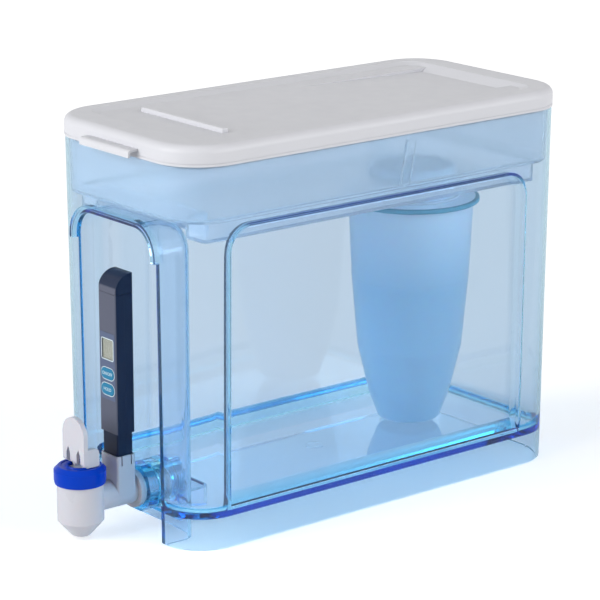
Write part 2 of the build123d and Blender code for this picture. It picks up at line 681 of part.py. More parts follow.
def make_rim_band():
    band = upright(RIM_BAND_RADIUS, RIM_LOW, RIM_TOP, 0, FILTER_Y)
    band = fillet(band.edges(), RIM_BAND_HEIGHT / 4)
    return band - upright(RIM_BAND_RADIUS - RIM_BAND_WIDTH, RIM_LOW, RIM_TOP, 0, FILTER_Y)


def make_top_cap():
    """Filter's top plate with its threaded neck and the lattice in the neck's mouth."""
    core = NECK_RADIUS - THREAD_RIDGE
    plate_r = RIM_BAND_RADIUS - RIM_BAND_WIDTH - SEAM_GAP
    plate = upright(plate_r, RIM_LOW, RIM_TOP, 0, FILTER_Y)
    neck = upright(core, RIM_TOP, NECK_TOP, 0, FILTER_Y)
    z = RIM_TOP + SEAL_THICKNESS + THREAD_PITCH
    while z < NECK_TOP - THREAD_PITCH / 2:
        root = core - THREAD_RIDGE
        neck = neck + turned([(root, z - 1), (NECK_RADIUS, z), (root, z + 1)], 0, FILTER_Y)
        z += THREAD_PITCH
    cap = (plate + neck) - upright(core - NECK_WALL, RIM_LOW - 1, NECK_TOP + 1, 0, FILTER_Y)
    bar_low = NECK_TOP - LATTICE_HEIGHT
    for i in range(LATTICE_SPOKES):
        bar = Pos(0, FILTER_Y, (bar_low + NECK_TOP) / 2) * Rot(0, 0, 180 * i / LATTICE_SPOKES)
        cap = cap + bar * Box(2 * core - NECK_WALL, LATTICE_BAR, LATTICE_HEIGHT)
    for ring in LATTICE_RINGS:
        hoop = upright(ring + LATTICE_BAR / 2, bar_low, NECK_TOP, 0, FILTER_Y)
        cap = cap + (hoop - upright(ring - LATTICE_BAR / 2, bar_low, NECK_TOP, 0, FILTER_Y))
    return cap


def make_neck_seal():
    low = RIM_TOP + SEAM_GAP
    ring = upright(COLLAR_INNER + COLLAR_WALL, low, low + SEAL_THICKNESS, 0, FILTER_Y)
    return ring - upright(NECK_RADIUS - THREAD_RIDGE + NECK_GAP, low, RIM_TOP + NECK_HEIGHT, 0, FILTER_Y)


def make_filter_media():
    """The filter's stages, from the mesh in the neck to the pad over the outlets."""
    neck_inside = NECK_RADIUS - THREAD_RIDGE - NECK_WALL - MEDIA_GAP
    lining = FILTER_WALL + MEDIA_GAP
    screen_high = NECK_TOP - LATTICE_HEIGHT - MEDIA_GAP
    foam_low = RIM_LOW - FOAM_THICKNESS
    plug_low = FILTER_SEAM_Z - SPIGOT_BELOW - MEDIA_GAP
    plug_high = FILTER_SEAM_Z + SPIGOT_ABOVE + MEDIA_GAP
    screen_low = plug_high + MEDIA_GAP
    carbon_low = screen_low + SCREEN_THICKNESS + MEDIA_GAP
    pad_low = FILTER_FOOT_Z + FILTER_WALL + MEDIA_GAP
    resin_low = pad_low + OUTLET_PAD + MEDIA_GAP
    resin_plug = cup_layer(plug_low, plug_high, 2 * FILTER_WALL + 2 * MEDIA_GAP)
    pad = cup_layer(pad_low, pad_low + OUTLET_PAD, lining)
    return {
        "filter_inlet_screen": upright(
            neck_inside, screen_high - SCREEN_THICKNESS, screen_high, 0, FILTER_Y
        ),
        "filter_foam_disc": cup_layer(foam_low, RIM_LOW - MEDIA_GAP, lining),
        "filter_carbon_bed": cup_layer(carbon_low, foam_low - MEDIA_GAP, lining),
        "filter_divider_screen": cup_layer(screen_low, screen_low + SCREEN_THICKNESS, lining),
        "filter_resin_bed": cup_layer(resin_low, plug_low, lining) + resin_plug,
        "filter_outlet_pad": fillet(pad.edges().group_by(Axis.Z)[0], FILTER_FOOT_EDGE),
    }


# ---------------------------------------------------------------- lid
def tray_space(drop):
    """Sunken tray in the lid's top; moved down by drop it shapes the lid's underside."""
    low, high = TRAY_FLOOR - drop, LID_TOP + 1
    rise = (high - low) / TRAY_DEPTH
    side, end = TRAY_SIDE_RUN * rise, TRAY_END_RUN * rise
    floor = RectangleRounded(2 * TRAY_HALF_X, 2 * TRAY_HALF_Y, TRAY_CORNER)
    mouth = RectangleRounded(2 * (TRAY_HALF_X + side), 2 * (TRAY_HALF_Y + end), TRAY_CORNER + end)
    tray = loft([Pos(0, 0, low) * floor, Pos(0, 0, high) * mouth])
    ramp = side_profile(
        [
            (RAMP_FRONT, low),
            (RAMP_REAR, low - RAMP_DEPTH),
            (TRAY_HALF_Y + end, high),
            (RAMP_FRONT, high),
        ],
        -RAMP_HALF - drop,
        RAMP_HALF + drop,
    )
    return tray + ramp


def finger_lip():
    """Hooded lip at the middle of the lid's front edge, open below and at both ends."""
    face = -LID_HALF_Y
    low = LID_BOTTOM + LIP_RISE
    high = low + LIP_HEIGHT
    hood = box_between(-LIP_HALF, LIP_HALF, face - LIP_REACH, face + LID_WALL / 2, low, high)
    edge = hood.edges().filter_by(Axis.X).group_by(Axis.Z)[-1].sort_by(Axis.Y)[0]
    hood = fillet(edge, LIP_ROUND)
    inside_front = face - LIP_REACH + LIP_WALL
    hollow = box_between(-REACH, REACH, inside_front, face, low - 1, high - LIP_WALL)
    edge = hollow.edges().filter_by(Axis.X).group_by(Axis.Z)[-1].sort_by(Axis.Y)[0]
    return hood - fillet(edge, LIP_ROUND - LIP_WALL / 2)


def make_lid():
    half_x, half_y = LID_HALF_X, LID_HALF_Y
    corner = RIM_CORNER + LID_OVERHANG
    outer = plan_block(half_x, half_y, corner, LID_BOTTOM, LID_TOP)
    outer = fillet(outer.edges().group_by(Axis.Z)[-1], LID_ROUND)
    outer = outer - tray_space(0)
    seam_low = LID_BOTTOM + LID_SEAM
    seam = plan_block(half_x + 1, half_y + 1, corner + 1, seam_low, seam_low + LID_SEAM_CUT)
    seam = seam - plan_block(
        half_x - LID_SEAM_CUT, half_y - LID_SEAM_CUT, corner - LID_SEAM_CUT, LID_BOTTOM, LID_TOP
    )
    in_x, in_y, in_corner = half_x - LID_WALL, half_y - LID_WALL, corner - LID_WALL
    under = plan_block(in_x, in_y, in_corner, LID_BOTTOM - 1, LID_TOP - LID_WALL)
    under = fillet(under.edges().group_by(Axis.Z)[-1], LID_ROUND - LID_WALL)
    under = under - tray_space(LID_WALL)
    lid = outer - seam - under

    rib_x, rib_y = (half - TUB_WALL - LID_RIB_GAP for half in tub_half())
    rib_corner = TUB_CORNER - TUB_WALL - LID_RIB_GAP
    rib_low, rib_high = FLANGE_TOP - LID_RIB_DEPTH, LID_TOP - LID_WALL / 2
    rib = plan_block(rib_x, rib_y, rib_corner, rib_low, rib_high)
    rib = rib - plan_block(rib_x - LID_RIB, rib_y - LID_RIB, rib_corner - LID_RIB, rib_low, rib_high)
    ridge_y = RIDGE_MARGIN - half_y
    ridge = box_between(
        -RIDGE_HALF,
        RIDGE_HALF,
        ridge_y,
        ridge_y + RIDGE_WIDTH,
        TRAY_FLOOR - LID_WALL / 2,
        TRAY_FLOOR + RIDGE_HEIGHT,
    )
    ridge = fillet(ridge.edges().group_by(Axis.Z)[-1], RIDGE_WIDTH / 4)
    return lid + rib + ridge + finger_lip()


# ---------------------------------------------------------------- tap
def holder_box(grow, low, high):
    """Square socket for the meter's foot, measured out from the foot."""
    half_x, half_y = METER_FOOT_HALF_X + grow, METER_FOOT_HALF_Y + grow
    return plan_block(half_x, half_y, METER_EDGE + grow / 2, low, high, 0.0, METER_Y)


def make_tap_body():
    outside = turned(
        [
            (0, NOZZLE_TIP),
            (NOZZLE_RADIUS - 0.6, NOZZLE_TIP),
            (NOZZLE_RADIUS, NOZZLE_TIP + 0.6),
            (BARREL_RADIUS, BARREL_SHOULDER),
            (BARREL_RADIUS, BARREL_TOP),
            (CAP_NECK_RADIUS, BARREL_TOP),
            (CAP_NECK_RADIUS, CAP_NECK_TOP),
            (0, CAP_NECK_TOP),
        ],
        0,
        TAP_Y,
    )
    outside = outside + along_y(PIPE_RADIUS, TAP_Y + CHAMBER_RADIUS, FLANGE_FRONT)
    outside = outside + along_y(FLANGE_RADIUS, FLANGE_FRONT, FLANGE_BACK)
    outside = outside + along_y(SHANK_CORE, FLANGE_BACK, SHANK_END)
    thread_y = ALCOVE_BACK - SHANK_PITCH
    while thread_y < SHANK_END - SHANK_PITCH:
        ridge = [(SHANK_CORE / 2, -1.0), (SHANK_CORE, -0.8), (SHANK_RADIUS, -0.2)]
        ridge += [(r, -y) for r, y in reversed(ridge)]
        place = Pos(0, thread_y, TAP_Z) * Rot(90, 0, 0)
        outside = outside + place * turned(ridge)
        thread_y += SHANK_PITCH
    outside = outside + holder_box(HOLDER_GAP + HOLDER_WALL, TAP_Z, HOLDER_TOP)

    chamber = turned(
        [
            (0, NOZZLE_TIP - 1),
            (NOZZLE_BORE, NOZZLE_TIP - 1),
            (NOZZLE_BORE, CHAMBER_FLOOR - 4),
            (SEAT_BORE, CHAMBER_FLOOR - 2),
            (SEAT_BORE, SEAT_TOP),
            (SEAT_RADIUS, SEAT_TOP),
            (SEAT_RADIUS, CHAMBER_FLOOR),
            (CHAMBER_RADIUS, CHAMBER_FLOOR),
            (CHAMBER_RADIUS, CAP_NECK_TOP + 1),
            (0, CAP_NECK_TOP + 1),
        ],
        0,
        TAP_Y,
    )
    bore = along_y(PIPE_BORE, TAP_Y + CHAMBER_RADIUS - 4, SHANK_END + 1)
    socket = holder_box(HOLDER_GAP, HOLDER_FLOOR, HOLDER_TOP + 1)
    probe_well = upright(PROBE_RADIUS + PROBE_WELL_GAP, TAP_Z, HOLDER_FLOOR + 1, 0, METER_Y)
    body = outside - chamber - bore - socket - probe_well
    reach = METER_FOOT_HALF_X + HOLDER_GAP + HOLDER_WALL + 1
    low_z = HOLDER_TOP - HOLDER_SLOT_DEPTH
    for y in (METER_Y - HOLDER_SLOT_SPREAD, METER_Y + HOLDER_SLOT_SPREAD):
        low_y, high_y = y - HOLDER_SLOT_WIDTH / 2, y + HOLDER_SLOT_WIDTH / 2
        body = body - box_between(0, reach, low_y, high_y, low_z, HOLDER_TOP + 1)
    return body


def make_bonnet():
    """Screw-down cap with a drip lip, a chamfered top and a shallow ring in its top face."""
    neck_r = CAP_NECK_RADIUS + SHANK_GAP
    low = BARREL_TOP + SEAM_GAP
    groove_in, groove_out = BONNET_GROOVE
    groove_z = BONNET_TOP - 0.6
    return turned(
        [
            (neck_r, low),
            (BONNET_RADIUS - 0.5, low),
            (BONNET_RADIUS, low + 2.4),
            (BONNET_RADIUS, BONNET_TOP - BONNET_CHAMFER),
            (BONNET_RADIUS - BONNET_CHAMFER, BONNET_TOP),
            (groove_out, BONNET_TOP),
            (groove_out - 0.4, groove_z),
            (groove_in + 0.4, groove_z),
            (groove_in, BONNET_TOP),
            (BONNET_BORE, BONNET_TOP),
            (BONNET_BORE, BONNET_UNDERSIDE),
            (neck_r, BONNET_UNDERSIDE),
        ],
        0,
        TAP_Y,
    )


def make_diaphragm():
    """Silicone bell that closes the chamber and presses the stem down."""
    top = BONNET_UNDERSIDE - 2 * SEAM_GAP
    low = top - DIAPHRAGM_THICKNESS
    hub_low, hub_high = low - DIAPHRAGM_DEPTH, low - DIAPHRAGM_DEPTH / 2
    hub_r = STEM_RADIUS + 2.4
    return turned(
        [
            (CAP_NECK_RADIUS - 0.4, low),
            (CAP_NECK_RADIUS - 0.4, top),
            (CHAMBER_RADIUS - 1.6, top),
            (hub_r, hub_high),
            (STEM_RADIUS + 0.3, hub_high),
            (STEM_RADIUS + 0.3, hub_low),
            (hub_r, hub_low),
            (CHAMBER_RADIUS - 1.0, low - 1.2),
            (CHAMBER_RADIUS - 0.6, low),
        ],
        0,
        TAP_Y,
    )


def stem_arm():
    """One arm of the stem's fork, at +X, with its round head at the pivot."""
    x0, x1 = ARM_HALF, ARM_HALF + ARM_THICKNESS
    rear = TAP_Y + sqrt((BONNET_BORE - 2 * GUIDE_GAP) ** 2 - x1**2)
    bar = box_between(x0, x1, PIVOT_Y - ARM_HEAD, rear, GUIDE_HIGH - 1, PIVOT_Z)
    return bar + along_x(ARM_HEAD, x0, x1, PIVOT_Y, PIVOT_Z)


def make_stem():
    rod = upright(STEM_RADIUS, SEAT_TOP + SEAT_CUP_HEIGHT + SEAM_GAP, GUIDE_LOW, 0, TAP_Y)
    guide = upright(BONNET_BORE - GUIDE_GAP, GUIDE_LOW, GUIDE_HIGH, 0, TAP_Y)
    stem = rod + guide + both_sides(stem_arm())
    return stem - along_x(PIN_RADIUS + 0.02, -REACH / 2, REACH / 2, PIVOT_Y, PIVOT_Z)


def make_lever_pin():
    half = (CHEEK_INNER + CHEEK_OUTER) / 2 + 1.0
    return along_x(PIN_RADIUS, -half, half, PIVOT_Y, PIVOT_Z)


def make_seat_cup():
    """Soft cup on the stem's foot that closes the raised seat."""
    low = SEAT_TOP + SEAM_GAP
    web, high = low + SEAT_CUP_HEIGHT, low + 2.2 * SEAT_CUP_HEIGHT
    neck_r = STEM_RADIUS + 1.6
    return turned(
        [
            (0, low),
            (SEAT_CUP_RADIUS - 0.5, low),
            (SEAT_CUP_RADIUS, low + 0.7 * SEAT_CUP_HEIGHT),
            (neck_r, web),
            (neck_r, high),
            (STEM_RADIUS + 0.05, high),
            (STEM_RADIUS + 0.05, web),
            (0, web),
        ],
        0,
        TAP_Y,
    )


def make_lever():
    """Paddle with two pointed slots beside a tongue, and a cam cheek behind each edge."""
    crown_z = PADDLE_FOOT + PADDLE_HEIGHT - PADDLE_HALF
    face = Pos(0, (PADDLE_FOOT + crown_z) / 2) * Rectangle(2 * PADDLE_HALF, crown_z - PADDLE_FOOT)
    face = face + Pos(0, crown_z) * Circle(PADDLE_HALF)
    face = fillet(face.vertices().group_by(Axis.Y)[0], PADDLE_CORNER)
    shoulder_z, apex_z = PADDLE_FOOT + SLOT_SHOULDER, PADDLE_FOOT + SLOT_APEX
    for side in (-1, 1):
        inner, outer = side * TONGUE_HALF, side * SLOT_OUTER
        slot = [
            (inner, PADDLE_FOOT - 1),
            (inner, shoulder_z),
            ((inner + outer) / 2, apex_z),
            (outer, shoulder_z),
            (outer, PADDLE_FOOT - 1),
        ]
        face = face - make_face(Polyline(*slot, close=True))
    paddle = extrude(Plane.XZ.offset(-PADDLE_FRONT) * face, amount=-PADDLE_THICKNESS)
    toe_y, toe_z = PADDLE_FRONT + PADDLE_TOE, PADDLE_FOOT + PADDLE_TOE
    toe = box_between(-REACH / 2, REACH / 2, PADDLE_FRONT, toe_y, PADDLE_FOOT, toe_z)
    paddle = paddle - (toe - along_x(PADDLE_TOE, -REACH / 2, REACH / 2, toe_y, toe_z))
    relief = box_between(
        -SLOT_OUTER, SLOT_OUTER, PADDLE_BACK - TONGUE_RELIEF, PADDLE_BACK + 1, PADDLE_FOOT, shoulder_z
    )
    cheek_foot = BONNET_TOP + CHEEK_GAP
    cheek = box_between(
        CHEEK_INNER,
        CHEEK_OUTER,
        PADDLE_BACK - 0.5,
        TAP_Y + CHEEK_SETBACK,
        cheek_foot,
        cheek_foot + CHEEK_HEIGHT,
    )
    rear = cheek.edges().filter_by(Axis.X).group_by(Axis.Y)[-1].sort_by(Axis.Z)[-1]
    cheek = fillet(rear, CHEEK_ROUND)
    heel = cheek.edges().filter_by(Axis.X).group_by(Axis.Z)[0].sort_by(Axis.Y)[-1]
    cheek = fillet(heel, CHEEK_HEEL)
    lever = (paddle - relief) + both_sides(cheek)
    bore_half = (CHEEK_INNER + CHEEK_OUTER) / 2 + 1.3
    return lever - along_x(PIN_RADIUS + PIN_GAP, -bore_half, bore_half, PIVOT_Y, PIVOT_Z)


def ring_y(outer, inner, y0, y1):
    """Flat ring on the tap's shank."""
    return along_y(outer, y0, y1) - along_y(inner, y0, y1)


def make_spacer():
    """Many-sided clear spacer between the tap's flange and the alcove's back wall."""
    front, back = SPACER_FRONT, ALCOVE_BACK - SEAM_GAP
    sides = Plane.XZ.offset(-front) * Pos(0, TAP_Z) * RegularPolygon(SPACER_RADIUS, SPACER_SIDES)
    body = extrude(sides, amount=-(back - front))
    middle = (front + back) / 2
    waist = along_y(SPACER_RADIUS + 1, middle - 0.6, middle + 0.6)
    waist = waist - along_y(SPACER_RADIUS - SPACER_GROOVE, front, back)
    hollow = ring_y(SPACER_RADIUS - 3.6, SHANK_RADIUS + 3.0, middle + 2.0, back)
    return body - waist - hollow - along_y(SHANK_RADIUS + SHANK_GAP, front, back)


def make_back_nut():
    """Nut inside the tank, with finger lugs round it."""
    front = NUT_FRONT
    middle, back = front + NUT_FLANGE_WIDTH, front + NUT_WIDTH
    nut = along_y(NUT_FLANGE_RADIUS, front, middle) + along_y(NUT_RADIUS - 2.0, middle, back)
    for i in range(NUT_LUGS):
        lug = Pos(0, 0, TAP_Z) * Rot(0, 360 * i / NUT_LUGS, 0)
        nut = nut + lug * box_between(-NUT_LUG_HALF, NUT_LUG_HALF, front, back, 0, NUT_RADIUS)
    return nut - along_y(SHANK_RADIUS + 2 * SEAM_GAP, front, back)


def make_tap_rings():
    outer_front, outer_back = FLANGE_BACK + SEAM_GAP, SPACER_FRONT - SEAM_GAP
    inner_front = ALCOVE_INNER + SEAM_GAP
    bore = SHANK_RADIUS + SHANK_GAP
    return {
        "tap_flange_washer": ring_y(WASHER_RADIUS - 0.6, bore, outer_front, outer_back),
        "tap_wall_washer": ring_y(WASHER_RADIUS, bore, inner_front, inner_front + WASHER_THICKNESS),
    }


# ---------------------------------------------------------------- water meter
def meter_block(inset, low, high):
    """Upper body of the meter between two heights, less an inset."""
    half_x, half_y = METER_HALF_X - inset, METER_HALF_Y - inset
    corner = max(METER_EDGE - inset, CASE_MIN_CORNER)
    return plan_block(half_x, half_y, corner, low, high, 0.0, METER_Y)


def foot_block(inset, low, high):
    """Narrower foot of the meter between two heights, less an inset."""
    half_x, half_y = METER_FOOT_HALF_X - inset, METER_FOOT_HALF_Y - inset
    corner = max(METER_EDGE - inset, CASE_MIN_CORNER)
    return plan_block(half_x, half_y, corner, low, high, 0.0, METER_Y)


def oval(half_x, half_z, z, y0, y1):
    """Oval slab facing -Y."""
    outline = Plane.XZ.offset(-y0) * Pos(0, z) * SlotOverall(2 * half_x, 2 * half_z)
    return extrude(outline, amount=-(y1 - y0))


def face_slab(half_x, z0, z1, y0, y1, corner):
    """Flat slab facing -Y with a rounded outline."""
    outline = Pos(0, (z0 + z1) / 2) * RectangleRounded(2 * half_x, z1 - z0, corner)
    return extrude(Plane.XZ.offset(-y0) * outline, amount=-(y1 - y0))


def key_opening(z, y0, y1):
    """Opening for one key, with its gap all round."""
    return oval(BUTTON_HALF_X + BUTTON_GAP, BUTTON_HALF_Z + BUTTON_GAP, z, y0, y1)


def make_meter_shells():
    outer = meter_block(0, METER_STEP_Z, METER_SPLIT_Z) + foot_block(0, METER_FOOT_Z, METER_STEP_Z)
    inner_step = METER_STEP_Z + METER_WALL
    inner = meter_block(METER_WALL, inner_step, METER_SPLIT_Z + 1)
    inner = inner + foot_block(METER_WALL, PROBE_HEAD, inner_step + 1)
    shell = outer - inner
    shell = shell - upright(PROBE_RADIUS + CASE_FIT, METER_FOOT_Z - 1, PROBE_HEAD + 1, 0, METER_Y)
    label_bed = face_slab(
        LABEL_HALF + CASE_FIT,
        LABEL_LOW - CASE_FIT,
        LABEL_HIGH + CASE_FIT,
        METER_FRONT - 1,
        METER_FRONT + LABEL_BED,
        LABEL_CORNER + CASE_FIT,
    )
    window = face_slab(
        LCD_HALF + CASE_FIT, LCD_LOW - CASE_FIT, LCD_HIGH + CASE_FIT, METER_FRONT - 1, METER_Y, LENS_CORNER
    )
    shell = shell - label_bed - window
    for z in KEY_HEIGHTS:
        shell = shell - key_opening(z, METER_FRONT - 1, METER_Y)
    half = SEAM_GAP / 2
    front_keep = box_between(-REACH, REACH, METER_FRONT - 1, METER_Y - half, 0, REACH)
    rear_keep = box_between(-REACH, REACH, METER_Y + half, METER_BACK + 1, 0, REACH)
    return shell & front_keep, shell & rear_keep


def make_meter_cap():
    """Battery cap: its front curves back to the top, and a spigot enters the body."""
    low = METER_SPLIT_Z + REST_GAP
    arc_y, arc_z = METER_FRONT + METER_CAP_ARC, METER_TOP_Z - METER_CAP_ARC
    side = box_between(-REACH, REACH, METER_FRONT, METER_BACK, low, arc_z)
    side = side + box_between(-REACH, REACH, arc_y, METER_BACK, low, METER_TOP_Z)
    side = side + along_x(METER_CAP_ARC, -REACH, REACH, arc_y, arc_z)
    block = meter_block(0, low, METER_TOP_Z) & side
    hollow_arc = along_x(METER_CAP_ARC - METER_CAP_WALL, -REACH, REACH, arc_y, arc_z)
    hollow_side = hollow_arc + box_between(-REACH, REACH, arc_y, METER_BACK, low, METER_TOP_Z)
    hollow = meter_block(METER_CAP_WALL + METER_WALL, low, METER_TOP_Z - METER_CAP_WALL) & hollow_side
    spigot_inset = METER_WALL + REST_GAP
    spigot = meter_block(spigot_inset, low - METER_SPIGOT, low + CAP_OVERLAP)
    bore = meter_block(spigot_inset + METER_CAP_WALL, low - METER_SPIGOT, low + CAP_OVERLAP)
    return (block - hollow) + (spigot - bore)


def make_label():
    back = METER_FRONT + LABEL_BED - SEAM_GAP / 2
    front = back - LABEL_THICKNESS
    panel = face_slab(LABEL_HALF, LABEL_LOW, LABEL_HIGH, front, back, LABEL_CORNER)
    low, high = LCD_LOW + LABEL_LAP, LCD_HIGH - LABEL_LAP
    panel = panel - face_slab(LCD_HALF - LABEL_LAP, low, high, front - 1, back + 1, LENS_CORNER)
    for z in KEY_HEIGHTS:
        panel = panel - key_opening(z, front - 1, back + 1)
    return panel


def make_button(z):
    """Oval key with a flange behind the shell and a stub that meets its switch."""
    inside = METER_FRONT + METER_WALL
    key = oval(BUTTON_HALF_X, BUTTON_HALF_Z, z, METER_FRONT - BUTTON_PROUD, inside + KEY_OVERLAP)
    key = fillet(key.faces().sort_by(Axis.Y)[0].edges(), KEY_FILLET)
    half_x, half_z = BUTTON_HALF_X + KEY_FLANGE_EDGE, BUTTON_HALF_Z + KEY_FLANGE_EDGE
    flange = oval(half_x, half_z, z, inside + KEY_FLANGE_GAP, inside + KEY_FLANGE_BACK)
    stub_end = METER_Y - SWITCH_FRONT - BUTTON_TRAVEL - KEY_STUB_GAP
    return key + flange + along_y(KEY_STUB_RADIUS, inside + KEY_FLANGE_GAP, stub_end, 0, z)


def make_board():
    half = METER_FOOT_HALF_X - METER_WALL - BOARD_SIDE_GAP
    back = BOARD_FRONT + BOARD_THICKNESS
    return box_between(-half, half, BOARD_FRONT, back, BOARD_LOW, CELLS_LOW - BOARD_HEAD)


def make_switches():
    front, back = METER_Y - SWITCH_FRONT, BOARD_FRONT - SWITCH_GAP
    return Compound(children=[along_y(SWITCH_RADIUS, front, back, 0, z) for z in KEY_HEIGHTS])


def make_display():
    """The lens in the window and the display behind it."""
    front, back = METER_FRONT + LABEL_BED, METER_FRONT + METER_WALL
    lens = face_slab(LCD_HALF, LCD_LOW, LCD_HIGH, front, back, LENS_CORNER - CASE_FIT)
    half = METER_HALF_X - METER_WALL - DISPLAY_SIDE_GAP
    low, high = LCD_LOW - DISPLAY_MARGIN, LCD_HIGH + DISPLAY_MARGIN
    front = back + SEAM_GAP
    return lens, box_between(-half, half, front, front + DISPLAY_THICKNESS, low, high)


def make_battery():
    """Tray, two button cells and the contact plate at each end of them."""
    half_x = METER_HALF_X - METER_WALL - TRAY_GAP
    half_y = METER_HALF_Y - METER_WALL - TRAY_GAP
    front, back = METER_Y - half_y, METER_Y + half_y
    tray = box_between(-half_x, half_x, front, back, CELLS_LOW - TRAY_FOOT, CELLS_TOP)
    tray = tray - upright(CELL_RADIUS + CELL_GAP, CELLS_LOW - TRAY_SEAT, CELLS_TOP + 1, 0, METER_Y)
    cells = []
    for i in range(2):
        low = CELLS_LOW + i * (CELL_HEIGHT + SEAM_GAP)
        cell = upright(CELL_RADIUS, low, low + CELL_HEIGHT, 0, METER_Y)
        cells.append(fillet(cell.edges().group_by(Axis.Z)[0], CELL_FILLET))
    front, back = METER_Y - PLATE_HALF, METER_Y + PLATE_HALF
    plates = []
    for low in (CELLS_LOW - PLATE_GAP - PLATE_THICKNESS, CELLS_TOP + SEAM_GAP):
        plates.append(box_between(-PLATE_HALF, PLATE_HALF, front, back, low, low + PLATE_THICKNESS))
    return tray, Compound(children=cells), Compound(children=plates)


def make_probe():
    """Probe in the meter's foot with its two pins and its O-ring."""
    probe = upright(PROBE_RADIUS, PROBE_FOOT, PROBE_HEAD, 0, METER_Y)
    groove_low = PROBE_FOOT + O_RING_LOW
    groove_high = groove_low + O_RING_SLOT
    groove = upright(PROBE_RADIUS + 1, groove_low, groove_high, 0, METER_Y)
    groove = groove - upright(PROBE_RADIUS - O_RING_DEPTH, groove_low, groove_high, 0, METER_Y)
    flange_inset = METER_WALL + PROBE_FLANGE_GAP
    flange = foot_block(flange_inset, PROBE_HEAD + SEAM_GAP, PROBE_HEAD + PROBE_FLANGE)
    neck_low, neck_high = PROBE_HEAD - PROBE_NECK_HALF, PROBE_HEAD + PROBE_NECK_HALF
    neck = upright(PROBE_RADIUS - PROBE_NECK_EDGE, neck_low, neck_high, 0, METER_Y)
    probe = probe + flange + neck - groove
    pin_low, pin_high = PROBE_FOOT - PROBE_PIN_LENGTH, BOARD_LOW - 2 * SEAM_GAP
    pins = []
    for x in (-PROBE_PIN_SPREAD, PROBE_PIN_SPREAD):
        hole_radius = PROBE_PIN_RADIUS + PROBE_PIN_FIT
        probe = probe - upright(hole_radius, pin_low, pin_high, x, METER_Y)
        pins.append(upright(PROBE_PIN_RADIUS, pin_low, pin_high, x, METER_Y))
    ring_z = (groove_low + groove_high) / 2
    ring = Pos(0, METER_Y, ring_z) * Torus(PROBE_RADIUS - REST_GAP, O_RING_RADIUS)
    return probe, Compound(children=pins), ring


# ---------------------------------------------------------------- write every sub-part
save(make_tank(), "tank")
save(make_reservoir(), "upper_reservoir")
save(make_lid(), "lid")

save(make_lower_cup(), "filter_lower_cup")
save(make_upper_sleeve(), "filter_upper_sleeve")
save(make_rim_band(), "filter_rim_band")
save(make_top_cap(), "filter_top_cap")
save(make_neck_seal(), "filter_neck_seal")
for node, solid in make_filter_media().items():
    save(solid, node)

save(make_tap_body(), "tap_body")
save(make_bonnet(), "tap_bonnet")
save(make_diaphragm(), "tap_diaphragm")
save(make_stem(), "tap_valve_stem")
save(make_seat_cup(), "tap_seat_cup")
save(make_lever_pin(), "tap_lever_pin")
save(make_lever(), "tap_lever")
save(make_spacer(), "tap_spacer_collar")
save(make_back_nut(), "tap_back_nut")
for node, solid in make_tap_rings().items():
    save(solid, node)

front_shell, rear_shell = make_meter_shells()
save(front_shell, "meter_front_shell")
save(rear_shell, "meter_rear_shell")
save(make_meter_cap(), "meter_cap")
save(make_label(), "meter_label_panel")
save(make_button(ON_OFF_Z), "meter_on_off_button")
save(make_button(HOLD_Z), "meter_hold_button")
save(make_board(), "meter_circuit_board")
save(make_switches(), "meter_key_switches")
lens, display = make_display()
save(lens, "meter_display_lens")
save(display, "meter_display")
battery_tray, button_cells, contacts = make_battery()
save(battery_tray, "meter_battery_tray")
save(button_cells, "meter_button_cells")
save(contacts, "meter_battery_contacts")
probe, probe_pins, o_ring = make_probe()
save(probe, "meter_probe")
save(probe_pins, "meter_probe_pins")
save(o_ring, "meter_probe_o_ring")
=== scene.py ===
import json
from math import cos, pi, radians, sin

import bmesh
import bpy
from mathutils import Matrix, Vector


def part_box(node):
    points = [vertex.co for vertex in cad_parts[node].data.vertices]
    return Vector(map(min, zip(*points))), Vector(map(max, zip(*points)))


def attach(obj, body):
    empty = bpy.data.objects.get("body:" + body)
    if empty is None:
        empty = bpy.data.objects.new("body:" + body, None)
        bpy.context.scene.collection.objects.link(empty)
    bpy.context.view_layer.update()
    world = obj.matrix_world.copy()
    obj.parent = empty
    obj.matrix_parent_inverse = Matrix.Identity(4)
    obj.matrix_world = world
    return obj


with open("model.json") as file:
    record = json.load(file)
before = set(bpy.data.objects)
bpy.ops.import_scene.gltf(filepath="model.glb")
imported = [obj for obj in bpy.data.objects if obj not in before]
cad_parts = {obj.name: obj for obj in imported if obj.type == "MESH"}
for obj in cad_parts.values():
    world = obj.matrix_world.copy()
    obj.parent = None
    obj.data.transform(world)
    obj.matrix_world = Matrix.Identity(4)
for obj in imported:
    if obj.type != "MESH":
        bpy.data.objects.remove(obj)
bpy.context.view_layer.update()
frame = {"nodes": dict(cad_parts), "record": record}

# Countertop gravity water filter. Metres, +Z up, the tap side faces -Y.

# ---------------------------------------------------------------- camera and studio
CAMERA_AZIMUTH = radians(50.814)
CAMERA_ELEVATION = radians(15.616)
CAMERA_ROLL = radians(0.103)
CAMERA_DISTANCE = 2.06516
CAMERA_LENS = 161.77          # on a 36 mm sensor
AIM_RIGHT = -0.01071
AIM_HEIGHT = 0.14209

FLOOR_RADIUS = 9.0
FLOOR_DROP = 0.0002
FLOOR_WHITE = 0.50            # what the floor lacks of white under the studio light
FLOOR_THROUGH = 0.15          # what it lacks where clear plastic shows it
SEEN_THROUGH = 0.90           # white of the studio as clear plastic shows it
SKY_LIGHT = 0.23
LAMPS = (                     # name, power, azimuth, elevation, softness
    ("left_lamp", 2.8, radians(-10.0), radians(20.0), radians(48.0)),
    ("right_lamp", 2.0, radians(120.0), radians(17.0), radians(48.0)),
)
LIGHT_BOUNCES = 28            # enough for the light to leave the tank's thick edges

